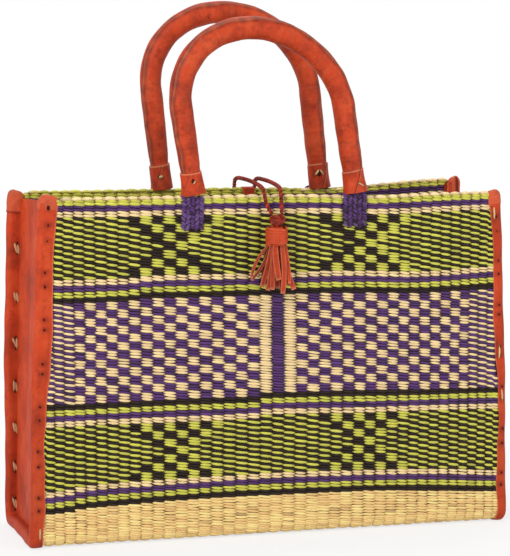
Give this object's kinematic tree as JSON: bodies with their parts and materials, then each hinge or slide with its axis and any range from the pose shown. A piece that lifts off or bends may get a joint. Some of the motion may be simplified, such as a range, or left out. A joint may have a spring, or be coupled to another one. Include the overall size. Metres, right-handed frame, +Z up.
{
  "type": "woven straw shopper bag",
  "caption": "Rectangular woven straw shopper with leather gussets and bound edges, tilting arched leather handles and a hanging leather tassel.",
  "frame": {"origin": "on the floor, under the middle of the bag", "axes": "+Z up, +X to the right seen from the front, front face towards -Y"},
  "size_m": [0.434, 0.1518, 0.4634],
  "materials": {
    "straw": "woven elephant grass, satin",
    "rim_straw": "plaited dyed grass, satin",
    "purple_straw": "dyed grass, satin",
    "leather": "dyed goatskin, soft sheen",
    "handle_leather": "dyed goatskin, rubbed to a sheen",
    "dark_leather": "dyed goatskin, dull",
    "grass_core": "bundled dry grass"
  },
  "bodies": {
    "bag": {"woven_mat": "straw", "front_rim_braid": "rim_straw", "back_rim_braid": "rim_straw", "left_gusset": "leather", "left_binding": "leather", "left_front_cap": "leather", "left_back_cap": "leather", "right_gusset": "leather", "right_binding": "leather", "right_front_cap": "leather", "right_back_cap": "leather", "front_left_lashing": "purple_straw", "front_right_lashing": "purple_straw", "back_left_lashing": "purple_straw", "back_right_lashing": "purple_straw", "closure_tab": "dark_leather", "left_closure_cord": "dark_leather", "right_closure_cord": "dark_leather"},
    "front_handle": {"front_handle_core": "grass_core", "front_handle_cover": "handle_leather", "front_left_cuff": "handle_leather", "front_right_cuff": "handle_leather"},
    "back_handle": {"back_handle_core": "grass_core", "back_handle_cover": "handle_leather", "back_left_cuff": "handle_leather", "back_right_cuff": "handle_leather"},
    "tassel_top": {"tassel_knot": "dark_leather"},
    "tassel_skirt": {"tassel_lace": "leather", "tassel_fringe": "leather"}
  },
  "joints": [
    {"name": "front_handle_tilt", "type": "hinge", "parent": "bag", "child": "front_handle", "pos_m": [-0.004, -0.05767, 0.3087], "axis": [0.9991, 0.0431, 0], "range_deg": [-19, 80]},
    {"name": "back_handle_tilt", "type": "hinge", "parent": "bag", "child": "back_handle", "pos_m": [0.001, 0.05746, 0.3087], "axis": [-0.9991, 0.0431, 0], "range_deg": [-19, 80]},
    {"name": "tassel_lift", "type": "hinge", "parent": "bag", "child": "tassel_top", "pos_m": [-0.0055, -0.07104, 0.2745], "axis": [1, 0, 0], "range_deg": [-75, 0]},
    {"name": "tassel_sway", "type": "hinge", "parent": "tassel_top", "child": "tassel_skirt", "pos_m": [-0.0055, -0.07104, 0.2745], "axis": [0, 1, 0], "range_deg": [-25, 25]}
  ]
}
